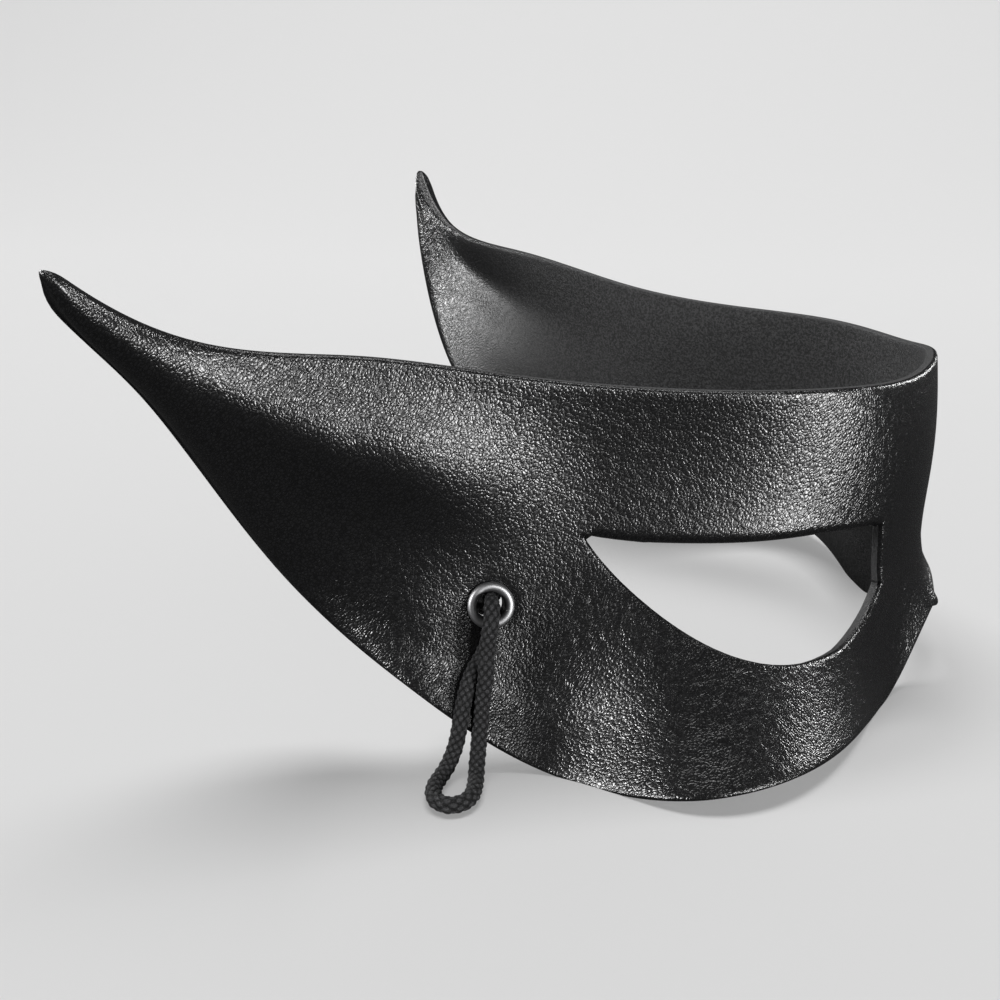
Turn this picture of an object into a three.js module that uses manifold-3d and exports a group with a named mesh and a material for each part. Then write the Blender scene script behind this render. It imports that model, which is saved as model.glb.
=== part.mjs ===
// Leather elf mask: a half mask of one formed hide with horn-like ears at both temples, an eyelet in each
// cheek and a loop of braided cord through each eyelet, knotted behind it. Millimetres.
// It is shaped as it is worn, with +X out of the nose, +Y to the wearer's left and +Z up, zero at the middle
// of the brow edge, and then raised until its lower edges rest on the ground.
import * as THREE from "three";
import { mergeVertices } from "three/addons/utils/BufferGeometryUtils.js";
import Module from "manifold-3d";

const wasm = await Module();
wasm.setup();

// The hide
const SHEET = 3;
const GROUND = -84.1; // the lower edges are trimmed flat here, so that the mask rests level
const EAR_REACH = 231; // along the brow edge, from the middle of the brow to an ear's tip
const EAR_TIP_ROUND = 6.2;
const EAR_FROM = 165; // where the sheet starts to roll into the ear
const EAR_ROLLED = 212;
const EAR_THICKNESS = 7.2;
const EAR_EDGE = 1.2;

// Plan of the brow edge: [distance from the middle, heading in degrees from straight across]
const PLAN = [
  [0, 0], [17, 21], [34, 36], [51, 53.7], [69, 68.3], [92, 74], [121, 68.5], [155, 66], [190, 53.2],
  [224, 32.8], [259, 17.4],
];
// Brow edge: [distance, height]
const BROW_EDGE = [
  [0, 0], [20, -1.6], [50, -1.2], [85, -0.4], [125, 3.4], [165, 10.3], [200, 16.1], [222, 29],
  [EAR_REACH, 36.6],
];
// Lower edge: [distance, height, how far it stands out from the brow's plan]
const LOWER_EDGE = [
  [0, -71, 7.7], [12, -65, 7.7], [28, -80, 6], [48, -83.7, 14], [70, -79.5, 36], [98, -81.5, 41],
  [126, -83.7, 22], [155, -66.8, 11], [184, -40.5, -7.4], [207, 0.9, -7.8], [225, 23.5, -2.5],
  [EAR_REACH, 31.7, -0.6],
];

// Forms worked into the hide
const CHEEK_CURL = 2.6; // how late the cheek leaves the brow's plan, as a power of the depth
const NOSE_CURL = 4.4; // added at the nose, which keeps upright until its tip
const NOSE_HALF_WIDTH = 16;
const BROW_BULGE = { out: 1.8, deep: 47, reach: 69 };
const EAR_RIDGE = { out: 5.2, at: 0.2, width: 0.18, from: 110, full: 150, fading: 170, gone: 205 };

// Right eye hole on the flattened hide: [distance, height]
const EYE = {
  outer: [114.5, -33.4],
  outerBend: [110, -34.6],
  browOuter: [100, -35.2],
  browInner: [56, -35.8],
  innerTop: [38, -37],
  innerLow: [35.8, -53],
  innerBend: [42, -62],
  bottom: [54, -63.2],
  lowerBend: [74, -62.5],
  cheekBend: [103, -53],
};

// Eyelet: its place on the flattened hide, and its section as [radius, height over the outside of the hide]
const EYELET = { at: 137, height: -48.5, seat: 5.9, holeInHide: 4.5 };
const EYELET_FACETS = 32;
const EYELET_SECTION = [
  [3.35, -4.1], [5.6, -4.1], [5.6, -3.3], [4.2, -3.3], [4.2, 0.35], [5.6, 0.35], [5.6, 0.7], [5.2, 1.1],
  [4.5, 1.35], [3.9, 1.3], [3.5, 1], [3.35, 0.6],
];

// Cord: a round braid that is squeezed where its two strands share the eyelet
const CORD = { diameter: 3.9, sides: 8, steps: 46, squeeze: 0.27, squeezeReach: 5, squeezeDepth: -1.5 };
// Right cord's middle line, from the knot out through the eyelet, down over the cheek, round on the ground and
// back up behind itself.
const CORD_ROUTE = [
  [-102.9, -75.4, -48], [-101.5, -78.3, -47.1], [-100.4, -81.4, -46.4], [-99.5, -84.5, -46.8],
  [-99.2, -86.8, -49.1], [-99.5, -87.8, -52.3], [-99.8, -88.4, -55.5], [-99.8, -89.3, -58.8],
  [-99.8, -89.7, -62.1], [-100.2, -90, -65.4], [-100.5, -90.7, -68.6], [-100.5, -91.7, -71.8],
  [-100.5, -93.3, -74.8], [-100.3, -95.2, -77.5], [-100.1, -97.4, -80], [-99.6, -100.2, -81.7],
  [-99.1, -103.5, -82.1], [-98.9, -106.8, -82.1], [-99.9, -110, -82.1], [-102.6, -111.9, -82.1],
  [-105.7, -110.9, -82.1], [-107.4, -108.1, -82.1], [-107.9, -104.8, -82.1], [-107.6, -101.5, -82],
  [-106.9, -98.4, -81.1], [-106.1, -96.1, -78.9], [-105.4, -94.8, -75.9], [-105, -93.9, -72.7],
  [-104.7, -92.6, -69.6], [-104.4, -91.1, -66.7], [-103.9, -89.4, -63.8], [-103, -87.5, -61.2],
  [-101.7, -85.8, -58.7], [-100.6, -84.5, -55.8], [-100, -84, -52.5], [-100.1, -82.1, -50],
  [-101.2, -79.1, -50.2], [-102.5, -76.1, -51.1],
];
// The knot behind each eyelet: half sizes, and how deep behind the outside of the hide its middle lies
const KNOT = { along: 4.6, down: 4.1, deep: 3.2, depth: -7.6, facets: 12 };

const radians = THREE.MathUtils.degToRad;
const clamp01 = (v) => Math.min(1, Math.max(0, v));
const smooth = (v, from, to) => THREE.MathUtils.smoothstep(v, from, to);

// A natural cubic through [at, value] knots that start at zero, carried on to the other side of zero:
// with sign 1 it is mirrored, with sign -1 it is turned over.
function mirroredCurve(knots, sign) {
  const far = knots.slice(1).reverse().map(([at, v]) => [-at, sign * v]);
  const all = [...far, ...knots];
  const x = all.map((k) => k[0]);
  const y = all.map((k) => k[1]);
  const n = x.length;
  const bend = new Array(n).fill(0);
  const share = new Array(n).fill(0);
  for (let i = 1; i < n - 1; i++) {
    const before = x[i] - x[i - 1];
    const after = x[i + 1] - x[i];
    const turn = 6 * ((y[i + 1] - y[i]) / after - (y[i] - y[i - 1]) / before);
    const pivot = 2 * (before + after) - before * share[i - 1];
    share[i] = after / pivot;
    bend[i] = (turn - before * bend[i - 1]) / pivot;
  }
  for (let i = n - 2; i > 0; i--) bend[i] -= share[i] * bend[i + 1];
  return (at) => {
    let i = 0;
    while (i < n - 2 && at > x[i + 1]) i++;
    const h = x[i + 1] - x[i];
    const a = (x[i + 1] - at) / h;
    const b = (at - x[i]) / h;
    return a * y[i] + b * y[i + 1] + (((a ** 3 - a) * bend[i] + (b ** 3 - b) * bend[i + 1]) * h * h) / 6;
  };
}

const heading = mirroredCurve(PLAN, -1);
const browEdge = mirroredCurve(BROW_EDGE, 1);
const lowerEdge = mirroredCurve(LOWER_EDGE, 1);
const lowerOut = mirroredCurve(LOWER_EDGE.map(([at, , out]) => [at, out]), 1);

// The brow edge's plan, walked once in small steps; positive distances run to the wearer's right.
const STEP = 0.5;
const planPoints = [[0, 0]];
for (let at = STEP / 2; at < EAR_REACH + 10; at += STEP) {
  const [x, y] = planPoints[planPoints.length - 1];
  const turn = radians(heading(at));
  planPoints.push([x - Math.sin(turn) * STEP, y - Math.cos(turn) * STEP]);
}
function planPoint(at) {
  const place = Math.abs(at) / STEP;
  const i = Math.min(Math.floor(place), planPoints.length - 2);
  const part = place - i;
  const [x0, y0] = planPoints[i];
  const [x1, y1] = planPoints[i + 1];
  return [x0 + (x1 - x0) * part, Math.sign(at || 1) * (y0 + (y1 - y0) * part)];
}

// How far the outside of the hide stands out from the brow's plan at a distance and height.
function standOut(at, height) {
  const top = browEdge(at);
  const deep = top - height;
  const whole = Math.max(top - lowerEdge(at), 1);
  const share = clamp01(deep / whole);
  const power = CHEEK_CURL + NOSE_CURL * Math.exp(-((at / NOSE_HALF_WIDTH) ** 2));
  const cheek = lowerOut(at) * share ** power;
  const brow =
    BROW_BULGE.out * Math.sin(Math.PI * clamp01(deep / BROW_BULGE.deep)) * Math.exp(-((at / BROW_BULGE.reach) ** 4));
  const ridge =
    EAR_RIDGE.out *
    smooth(Math.abs(at), EAR_RIDGE.from, EAR_RIDGE.full) *
    (1 - smooth(Math.abs(at), EAR_RIDGE.fading, EAR_RIDGE.gone)) *
    Math.exp(-(((share - EAR_RIDGE.at) / EAR_RIDGE.width) ** 2));
  return cheek + brow + ridge;
}

function outside(at, height) {
  const [x, y] = planPoint(at);
  const turn = radians(heading(at));
  const out = standOut(at, height);
  return new THREE.Vector3(x + Math.cos(turn) * out, y - Math.sin(turn) * out, height);
}

// The point that stands off the outside of the hide by the given depth, square to it, outwards when positive.
function onHide(at, height, depth) {
  const along = outside(at + 1, height).sub(outside(at - 1, height));
  const up = outside(at, height + 1).sub(outside(at, height - 1));
  return outside(at, height).addScaledVector(up.cross(along).normalize(), depth);
}

// A closed mesh from rings of points, each ring running the same way round, with a flat fan at both ends.
function loft(rings) {
  const size = rings[0].length;
  const points = rings.flat();
  const faces = [];
  for (let r = 0; r + 1 < rings.length; r++)
    for (let i = 0; i < size; i++) {
      const a = r * size + i;
      const b = r * size + ((i + 1) % size);
      faces.push(a, b + size, b, a, a + size, b + size);
    }
  const cap = (ring, flip) => {
    const centre = new THREE.Vector3();
    rings[ring].forEach((p) => centre.addScaledVector(p, 1 / size));
    points.push(centre);
    for (let i = 0; i < size; i++) {
      const a = ring * size + i;
      const b = ring * size + ((i + 1) % size);
      faces.push(points.length - 1, ...(flip ? [a, b] : [b, a]));
    }
  };
  cap(0, true);
  cap(rings.length - 1, false);
  const geometry = new THREE.BufferGeometry();
  geometry.setAttribute("position", new THREE.Float32BufferAttribute(points.flatMap((p) => p.toArray()), 3));
  geometry.setIndex(faces);
  return geometry;
}

function solidOf(geometry) {
  const bare = geometry.clone();
  bare.deleteAttribute("normal");
  bare.deleteAttribute("uv");
  const merged = mergeVertices(bare, 1e-4);
  return new wasm.Manifold(
    new wasm.Mesh({
      numProp: 3,
      vertProperties: new Float32Array(merged.attributes.position.array),
      triVerts: new Uint32Array(merged.index.array),
    }),
  );
}

function turnedInsideOut(geometry) {
  const turned = geometry.index ? geometry.toNonIndexed() : geometry.clone();
  const position = turned.attributes.position;
  const second = new THREE.Vector3();
  const third = new THREE.Vector3();
  for (let i = 0; i < position.count; i += 3) {
    second.fromBufferAttribute(position, i + 1);
    third.fromBufferAttribute(position, i + 2);
    position.setXYZ(i + 1, ...third.toArray());
    position.setXYZ(i + 2, ...second.toArray());
  }
  return turned;
}

function geometryOf(solid) {
  const mesh = solid.getMesh();
  const geometry = new THREE.BufferGeometry();
  geometry.setAttribute("position", new THREE.Float32BufferAttribute(mesh.vertProperties, 3));
  geometry.setIndex(new THREE.Uint32BufferAttribute(mesh.triVerts, 1));
  return geometry;
}

// Mesh fineness of the hide
const COLUMNS = 54; // on each side of the nose
const ROWS = 10;
const END_SHORT = 1.2; // the ears' tips stop this far short of their full reach, where they would have no width
const ROLL_HALF = 6; // a rolled ear narrower than twice this thins with its width

// One closed ring round the hide at a distance: down its outside and back up its inside.
function hideRing(at) {
  const reach = Math.abs(at);
  const rolled = smooth(reach, EAR_FROM, EAR_ROLLED);
  const tip = clamp01((reach - EAR_REACH + EAR_TIP_ROUND) / EAR_TIP_ROUND);
  const round = Math.sqrt(1 - tip ** 2);
  const top = browEdge(at);
  const low = lowerEdge(at);
  const centre = (top + low) / 2;
  const half = ((top - low) / 2) * round;
  const full = Math.max(EAR_THICKNESS * Math.min(1, half / ROLL_HALF), EAR_EDGE);
  const point = (row, side) => {
    const even = row / ROWS;
    const bunched = (1 - Math.cos(Math.PI * even)) / 2;
    const share = even + (bunched - even) * rolled;
    const rolledThickness = EAR_EDGE + (full - EAR_EDGE) * Math.sqrt(4 * share * (1 - share));
    const thickness = (SHEET + (rolledThickness - SHEET) * rolled) * round;
    return onHide(at, centre + half * (1 - 2 * share), (side * thickness - SHEET * round) / 2);
  };
  const ring = [];
  for (let row = 0; row <= ROWS; row++) ring.push(point(row, 1));
  for (let row = ROWS; row >= 0; row--) ring.push(point(row, -1));
  return ring;
}

function eyeOutline() {
  const outline = new THREE.Shape();
  outline.moveTo(...EYE.outer);
  outline.quadraticCurveTo(...EYE.outerBend, ...EYE.browOuter);
  outline.lineTo(...EYE.browInner);
  outline.lineTo(...EYE.innerTop);
  outline.lineTo(...EYE.innerLow);
  outline.quadraticCurveTo(...EYE.innerBend, ...EYE.bottom);
  outline.bezierCurveTo(...EYE.lowerBend, ...EYE.cheekBend, ...EYE.outer);
  return outline;
}

// A cutter through the hide: an outline on the flattened hide, carried on to it, on the given side.
const CUT_DEPTH = 14;
function hideCutter(outline, side) {
  const extrusion = { depth: 2 * CUT_DEPTH, bevelEnabled: false, curveSegments: 8 };
  const cutter = new THREE.ExtrudeGeometry(outline, extrusion);
  const position = cutter.attributes.position;
  for (let i = 0; i < position.count; i++) {
    const depth = position.getZ(i) - CUT_DEPTH;
    const point = onHide(side * position.getX(i), position.getY(i), depth);
    position.setXYZ(i, point.x, point.y, point.z);
  }
  return solidOf(side > 0 ? turnedInsideOut(cutter) : cutter);
}

// Moves a geometry made round the y axis to an eyelet, with y pointing out of the hide there.
function atEyelet(geometry, side) {
  const place = onHide(side * EYELET.at, EYELET.height, 0);
  const out = onHide(side * EYELET.at, EYELET.height, 1).sub(place);
  const turn = new THREE.Quaternion().setFromUnitVectors(new THREE.Vector3(0, 1, 0), out.normalize());
  return geometry.applyQuaternion(turn).translate(...place.toArray());
}

// What the eyelet takes out of the hide: its hole, and a seat on each face where it presses the leather flat.
function eyeletCutter(side) {
  const hole = new THREE.CylinderGeometry(EYELET.holeInHide, EYELET.holeInHide, 4 * SHEET, EYELET_FACETS);
  const seat = () => new THREE.CylinderGeometry(EYELET.seat, EYELET.seat, SHEET, EYELET_FACETS);
  const outer = solidOf(atEyelet(seat().translate(0, SHEET / 2, 0), side));
  const inner = solidOf(atEyelet(seat().translate(0, -SHEET * 1.5, 0), side));
  return solidOf(atEyelet(hole, side)).add(outer).add(inner);
}

function groundCutter() {
  const wide = 4 * EAR_REACH;
  return solidOf(new THREE.BoxGeometry(wide, wide, wide).translate(0, 0, GROUND - wide / 2));
}

function hideGeometry() {
  const rings = [];
  for (let column = -COLUMNS; column <= COLUMNS; column++) {
    const reach = (Math.abs(column) / COLUMNS) * (EAR_REACH - END_SHORT);
    rings.push(hideRing(Math.sign(column) * reach));
  }
  let hide = solidOf(loft(rings)).subtract(groundCutter());
  for (const side of [1, -1]) {
    hide = hide.subtract(hideCutter(eyeOutline(), side)).subtract(eyeletCutter(side));
  }
  return geometryOf(hide);
}

function eyeletGeometry(side) {
  const section = [...EYELET_SECTION, EYELET_SECTION[0]].map((p) => new THREE.Vector2(...p));
  return atEyelet(new THREE.LatheGeometry(section, EYELET_FACETS), side);
}

function knotGeometry(side) {
  const knot = new THREE.SphereGeometry(1, KNOT.facets, KNOT.facets / 2);
  return atEyelet(knot.scale(KNOT.along, KNOT.deep, KNOT.down).translate(0, KNOT.depth, 0), side);
}

// The cord: a tube along its route, each of its rings drawn in where it passes through the eyelet.
function cordGeometry(side) {
  const route = new THREE.CatmullRomCurve3(CORD_ROUTE.map(([x, y, z]) => new THREE.Vector3(x, side * y, z)));
  const radius = CORD.diameter / 2;
  const section = new THREE.Shape();
  for (let i = 0; i < CORD.sides; i++) {
    const turn = (2 * Math.PI * i) / CORD.sides;
    const corner = [radius * Math.cos(turn), radius * Math.sin(turn)];
    if (i === 0) section.moveTo(...corner);
    else section.lineTo(...corner);
  }
  const tube = new THREE.ExtrudeGeometry(section, { steps: CORD.steps, extrudePath: route });
  const centres = route.getSpacedPoints(CORD.steps);
  const { tangents } = route.computeFrenetFrames(CORD.steps, false);
  const neck = onHide(side * EYELET.at, EYELET.height, CORD.squeezeDepth);
  const position = tube.attributes.position;
  const corner = new THREE.Vector3();
  for (let i = 0; i < position.count; i++) {
    corner.fromBufferAttribute(position, i);
    const misses = centres.map((centre, ring) => {
      const arm = corner.clone().sub(centre);
      return Math.abs(arm.length() - radius) + Math.abs(arm.dot(tangents[ring]));
    });
    const centre = centres[misses.indexOf(Math.min(...misses))];
    const near = Math.exp(-((centre.distanceTo(neck) / CORD.squeezeReach) ** 4));
    corner.lerp(centre, CORD.squeeze * near);
    position.setXYZ(i, ...corner.toArray());
  }
  return tube;
}

const leather = new THREE.MeshStandardMaterial({ color: 0x17171a, roughness: 0.45 });
const steel = new THREE.MeshStandardMaterial({ color: 0x55555a, roughness: 0.4, metalness: 1 });
const braid = new THREE.MeshStandardMaterial({ color: 0x3a3a3e, roughness: 0.95 });

const mask = new THREE.Group();
function addPiece(name, geometry, material) {
  const piece = new THREE.Mesh(geometry, material);
  piece.name = name;
  mask.add(piece);
  return piece;
}
const shell = addPiece("leather_shell", hideGeometry(), leather);
for (const [name, side] of [["right", 1], ["left", -1]]) {
  addPiece(`${name}_eyelet`, eyeletGeometry(side), steel);
  addPiece(`${name}_cord`, cordGeometry(side), braid);
  addPiece(`${name}_cord_knot`, knotGeometry(side), braid);
}

// The mask stands on the ground at z = 0, with the middle of its length over the origin.
const middle = new THREE.Box3().setFromObject(shell).getCenter(new THREE.Vector3());
mask.position.set(-middle.x, 0, -GROUND);

export default mask;
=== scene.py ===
import math

import bmesh
import bpy
import numpy as np
from mathutils import Matrix, Vector


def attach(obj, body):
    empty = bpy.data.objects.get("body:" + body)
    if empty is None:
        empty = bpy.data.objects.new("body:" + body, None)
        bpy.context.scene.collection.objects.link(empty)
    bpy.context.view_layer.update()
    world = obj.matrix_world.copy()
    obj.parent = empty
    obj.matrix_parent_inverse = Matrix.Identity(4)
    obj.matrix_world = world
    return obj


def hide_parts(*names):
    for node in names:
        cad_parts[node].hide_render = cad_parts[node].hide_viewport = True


bl_info = {
    "name": "Leather elf mask",
    "version": (1, 0, 0),
    "blender": (4, 5, 0),
    "location": "View3D > Sidebar > Mask",
    "description": "Dresses the solids of a leather elf mask in hide, steel and braid",
    "category": "Add Mesh",
}

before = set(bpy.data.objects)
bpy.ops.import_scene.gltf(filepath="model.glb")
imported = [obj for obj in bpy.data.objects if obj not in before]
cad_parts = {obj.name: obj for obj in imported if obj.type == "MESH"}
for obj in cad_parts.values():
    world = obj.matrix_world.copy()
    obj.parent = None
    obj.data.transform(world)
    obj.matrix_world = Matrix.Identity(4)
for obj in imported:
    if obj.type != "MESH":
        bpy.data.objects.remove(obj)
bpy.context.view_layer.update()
MM = 0.001
BODY = "root"

# The hide, in millimetres as it is worn: +X out of the nose, +Y to the wearer's left, +Z up, and zero at the
# middle of the brow edge. AT_REST carries it to the row's frame, where its lower edges stand on the ground.
# Distances run along the flattened hide from its middle, and depths run out of its outer skin.
AT_REST = np.array([85.024, 0.0, 84.1])
GROUND = -AT_REST[2]
SHEET = 3.0
EAR_REACH = 231.0
EAR_END = 229.5
EAR_TIP_ROUND = 4.5
EAR_FROM, EAR_ROLLED = 165.0, 212.0
EAR_THICKNESS = 7.2
EAR_EDGE = 1.2
ROLL_HALF = 4.5
WRAPPED_FROM, WRAPPED_FULL = 135.0, 205.0  # towards the ears the grain side is all round

# Plan of the brow edge: distance from the middle, heading in degrees from straight across
PLAN = [
    (0, 0), (17, 21), (34, 36), (51, 53.7), (69, 68.3), (92, 74), (121, 68.5), (155, 66), (190, 53.2),
    (224, 32.8), (259, 17.4),
]
# Brow edge: distance, height
BROW_EDGE = [
    (0, 0), (20, -1.6), (50, -1.2), (85, -0.4), (125, 3.4), (165, 10.3), (200, 16.1), (222, 29),
    (EAR_REACH, 36.6),
]
# Lower edge: distance, height, how far it stands out from the brow's plan
LOWER_EDGE = [
    (0, -71, 7.7), (12, -65, 7.7), (28, -80, 6), (48, -83.7, 14), (70, -79.5, 36), (98, -81.5, 41),
    (126, -83.7, 22), (155, -66.8, 11), (184, -40.5, -7.4), (207, 0.9, -7.8), (225, 23.5, -2.5),
    (EAR_REACH, 31.7, -0.6),
]

# Forms worked into the hide
CHEEK_CURL = 2.6
NOSE_CURL = 4.4
NOSE_HALF_WIDTH = 16.0
BULGE_OUT, BULGE_DEEP, BULGE_REACH = 1.8, 47.0, 69.0
RIDGE_OUT, RIDGE_AT, RIDGE_WIDTH = 5.2, 0.28, 0.2
RIDGE_FROM, RIDGE_FULL, RIDGE_FADING, RIDGE_GONE = 110.0, 160.0, 170.0, 205.0
LIP_OUT, LIP_FROM, LIP_AT, LIP_REACH = 2.2, 0.84, 140.0, 36.0

# Right eye hole on the flattened hide, as arcs of control points from the outer corner back to it
EYE_ARCS = [
    [(114.5, -33.4), (110, -34.6), (100, -35.2)],
    [(100, -35.2), (56, -35.8)],
    [(56, -35.8), (38, -37)],
    [(38, -37), (35.8, -53)],
    [(35.8, -53), (42, -62), (54, -63.2)],
    [(54, -63.2), (74, -62.5), (103, -53), (114.5, -33.4)],
]
# Distances and heights between which a rim is an eye hole's
EYE_SPAN, EYE_LEVELS = (33.0, 118.0), (-66.0, -30.0)

# Rounding of the leather's edges, at the ears' tips at most this share of half the hide's height
RIM_ROUND, RIM_SHARE = 0.9, 0.3
# Rounding of the eye hole's upper rim, where the way from the hole to the leather goes up this steeply
BROW_ROLL, BROW_ROLL_FROM, BROW_ROLL_FULL = 2.3, 0.6, 0.9
# Section of a rim: how far out and how deep, as shares of its rounding, and 0 where that is measured from the
# outer skin or 1 from the inner
RIM_SECTION = [
    (0.38, 0.08, 0), (0.71, 0.29, 0), (0.92, 0.62, 0), (1.0, 1.0, 0),
    (1.0, 0.6, 1), (0.9, 0.3, 1), (0.5, 0.06, 1), (0, 0, 1),
]

# Steps along the plan, which is walked a little past the ears, and to a point's neighbours on the hide
PLAN_STEP, PAST_EAR, NEIGHBOUR = 0.5, 10.0, 1.0
# The flat sheet's grid: its last columns, past this share of them, gather at the ears' tips
COLUMNS, ROWS = 360, 62
TIP_FROM, TIP_STOP = 222.0, 0.05
TIP_SHARE, TIP_GATHER = 0.95, 1.8
# Least sizes that the sums work with, and distances at which points count as one
LEAST_HEIGHT, LEAST_HALF, LEAST_RUN, LEAST_RISE = 1.0, 1e-3, 0.05, 1e-9
SAME_ON_SHEET, SAME_POINT = 0.04, 1e-4
# How finely outlines, rings and cords are cut
EYE_STEP, HOLE_STEPS = 2.0, 40
CUT_MARGIN, CUT_SNAP = 3.0, 0.05
ROUTE_STEPS = 30
CORD_STEPS, CORD_SIDES = 420, 42
KNOT_STEPS, KNOT_SIDES = 221, 24
LIP_STEPS, EYELET_STEPS = 17, 96
SWEEP_PARTS = 160

# Eyelet: its distance and height on the flattened hide, the radii of its hole, rim and barrel, the height of
# its lip over its base, and the depths between which its flange lies behind the leather
EYELET_PLACE = (137.0, -48.5)
EYELET_HOLE = 3.35
EYELET_OUTER = 5.6
EYELET_BARREL = 4.2
EYELET_LIP, EYELET_BASE = 1.0, 0.35
EYELET_BACK = (-3.3, -4.1)
EYELET_BEVEL = 0.2
EYELET_SHARP = 50.0  # degrees between faces, from which their edge is a sharp one
# The leather round it: the radius of the hole for the barrel, and of the seat that the lip has pressed
HOLE_IN_HIDE = 4.5
SEAT, SEAT_WALL, SEAT_DEEP = 7.4, 0.6, 0.35

# Cord: its middle line as it is worn, from the knot out through the right eyelet and back
CORD_ACROSS = 3.9
CORD_SQUEEZE = 0.27
CORD_SQUEEZE_REACH = 5.0
CORD_SQUEEZE_DEPTH = -1.5
CORD_ROUTE = [
    (-102.9, -75.4, -48), (-101.5, -78.3, -47.1), (-100.4, -81.4, -46.4), (-99.5, -84.5, -46.8),
    (-99.2, -86.8, -49.1), (-99.5, -87.8, -52.3), (-99.8, -88.4, -55.5), (-99.8, -89.3, -58.8),
    (-99.8, -89.7, -62.1), (-100.2, -90, -65.4), (-100.5, -90.7, -68.6), (-100.5, -91.7, -71.8),
    (-100.5, -93.3, -74.8), (-100.3, -95.2, -77.5), (-100.1, -97.4, -80), (-99.6, -100.2, -81.7),
    (-99.1, -103.5, -82.1), (-98.9, -106.8, -82.1), (-99.9, -110, -82.1), (-102.6, -111.9, -82.1),
    (-105.7, -110.9, -82.1), (-107.4, -108.1, -82.1), (-107.9, -104.8, -82.1), (-107.6, -101.5, -82),
    (-106.9, -98.4, -81.1), (-106.1, -96.1, -78.9), (-105.4, -94.8, -75.9), (-105, -93.9, -72.7),
    (-104.7, -92.6, -69.6), (-104.4, -91.1, -66.7), (-103.9, -89.4, -63.8), (-103, -87.5, -61.2),
    (-101.7, -85.8, -58.7), (-100.6, -84.5, -55.8), (-100, -84, -52.5), (-100.1, -82.1, -50),
    (-101.2, -79.1, -50.2), (-102.5, -76.1, -51.1),
]
BRAID_STRANDS = 6  # in each of its two directions
BRAID_PITCH = 13.0
BRAID_CORE, BRAID_RAISED = 0.76, 0.25  # shares of the cord's radius
STRAND_NARROW, STRAND_ARCH, STRAND_FLAT = 1.9, 0.92, 0.6
KNOT_DEPTH = -7.6
KNOT_ACROSS = 3.0
KNOT_HALF = (0.95, 0.8, 1.55)  # what the trefoil's unit is across, up and through, in millimetres

# Camera, in millimetres and degrees in the row's frame, and the least distance that it sees in metres
CAMERA_TARGET = (-32.17, 0.0, 33.6)
CAMERA_AZIMUTH = 13.0
CAMERA_ELEVATION = 19.0
CAMERA_DISTANCE = 368.0
CAMERA_LENS, CAMERA_SENSOR = 45.0, 36.0
CAMERA_NEAR = 0.01

# Stage, in metres: the paper, flat out to where it sweeps up, sooner behind the mask than elsewhere, and the
# softboxes, by name, direction, distance, size, share of the softbox power and whether they light the paper
SWEEP_HALF = 5.0
SWEEP_FROM = 0.7
SWEEP_ELSEWHERE = 2.4
SWEEP_ROUND = 1.2
LIT_PLACE = (0.0, 0.0, 0.05)
SOFTBOXES = [
    ("right_softbox", (0.85, -0.53, 0.09), 2.0, (0.6, 0.4), 0.5, False),
    ("front_softbox", (0.56, -0.72, 0.41), 2.0, (0.4, 0.35), 0.06, False),
    ("left_softbox", (-0.63, -0.7, 0.33), 2.0, (0.4, 0.35), 0.48, False),
    ("back_softbox", (-0.8, 0.42, 0.42), 2.0, (0.6, 0.45), 0.3, False),
    ("far_softbox", (0.75, 0.6, 0.3), 2.0, (0.5, 0.4), 0.3, False),
    ("top_softbox", (-0.1, 0.25, 0.95), 3.0, (2.1, 1.2), 0.7, True),
]

SIDES = (("right", 1), ("left", -1))

# Leather: where the outer skin ends and the inner one starts, as shares of its thickness
OUTER_SKIN, INNER_SKIN = (0.02, 0.1), (0.82, 0.97)
# Noises, by how often they repeat along a metre, their detail and the roughness of that detail
WANDER_NOISE = (420.0, 1.0)
FINE_NOISE = (3400, 3, 0.6)
NAP_NOISE = (1500, 4, 0.7)
FIBRE_NOISE = (2600, 4, 0.7)
BRUSHED_NOISE = (1500, 3, 0.6)
CLOUD_NOISE = (500, 2)
YARN_NOISE = (3600, 4, 0.7)
# How far and how deep patterns go, in metres
WANDER_REACH = 0.0016
GRAIN_DEEP, BRUSHED_DEEP, YARN_DEEP = 0.00009, 0.00002, 0.00025
# Leather: the grain's growth along turned axes, its cells, and how much each pattern counts in the relief
GRAIN_STRETCH, GRAIN_TURN = (1.6, 1.0, 1.0), (0.0, -0.8, 0.0)
PEBBLE_RANDOM, SMALLER_PEBBLES = 0.9, 1.9
DOME_FALL, CREASE_WIDTH = 1.6, 0.3
DOMES, CREASES, FINE = 0.42, 0.3, 0.14
INSIDE_PEBBLES, INSIDE_NAP, CUT_FIBRES = 1.2, 2.2, 2.4
CUT_STRETCH = (1.0, 1.0, 0.5)
NAP_BAND, CUT_BAND = (0.42, 0.62), (0.4, 0.7)
SKIN_ROUGH, SKIN_ROUGH_SPREAD = 0.19, 0.16
CUT_ROUGH, INNER_ROUGH = 0.62, 0.8
LEATHER_SHINE = 0.45
# Steel and braid
BRUSHED_STRETCH = (1.0, 1.0, 0.2)
STEEL_ROUGH, STEEL_ROUGH_SPREAD = 0.36, 0.2
STRAND_FOOT = 0.45
# Painted highlight: lighter fibres on the braid's crowns, in a band of the yarn noise and at most this share
CROWN_GLINT_BAND, CROWN_GLINT_SHARE = (0.5, 0.72), 0.7
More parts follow.
